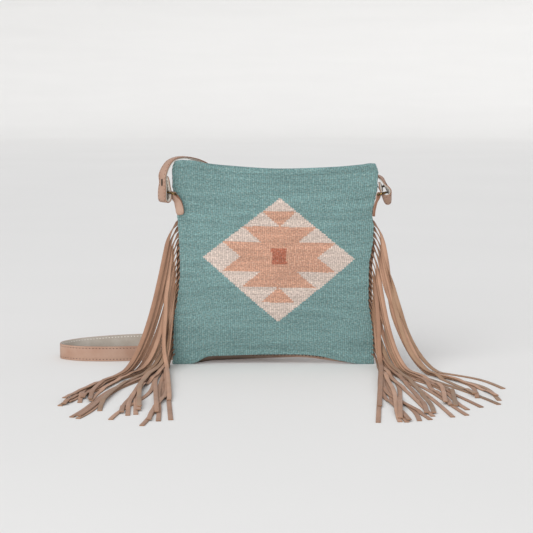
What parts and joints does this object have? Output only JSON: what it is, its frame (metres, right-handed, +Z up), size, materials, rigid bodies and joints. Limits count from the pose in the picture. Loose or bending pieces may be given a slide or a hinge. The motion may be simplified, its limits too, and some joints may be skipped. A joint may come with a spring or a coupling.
{
  "type": "fringe crossbody bag",
  "caption": "Flat crossbody pouch with a woven wool front, leather back, leather fringe in the side seams and a lined leather strap on metal rings.",
  "frame": {"origin": "middle of the floor rectangle that the whole bag covers, at the floor", "axes": "+X to the bag's right seen from its woven front, +Z up, the woven front faces -Y"},
  "size_m": [0.5608, 0.4512, 0.2597],
  "materials": {
    "wool": "woven, matt",
    "hide": "soft vegetable tan",
    "lining": "suede",
    "brass": "antique",
    "stud_metal": "blackened"
  },
  "bodies": {
    "root": {"front_panel": "wool", "back_panel": "hide", "fringe_left": "hide", "fringe_right": "hide", "tab_left": "hide", "tab_right": "hide", "ring_left": "brass", "ring_right": "brass", "stud_left": "stud_metal", "stud_right": "stud_metal", "strap": "hide", "strap_lining": "lining"}
  },
  "joints": []
}
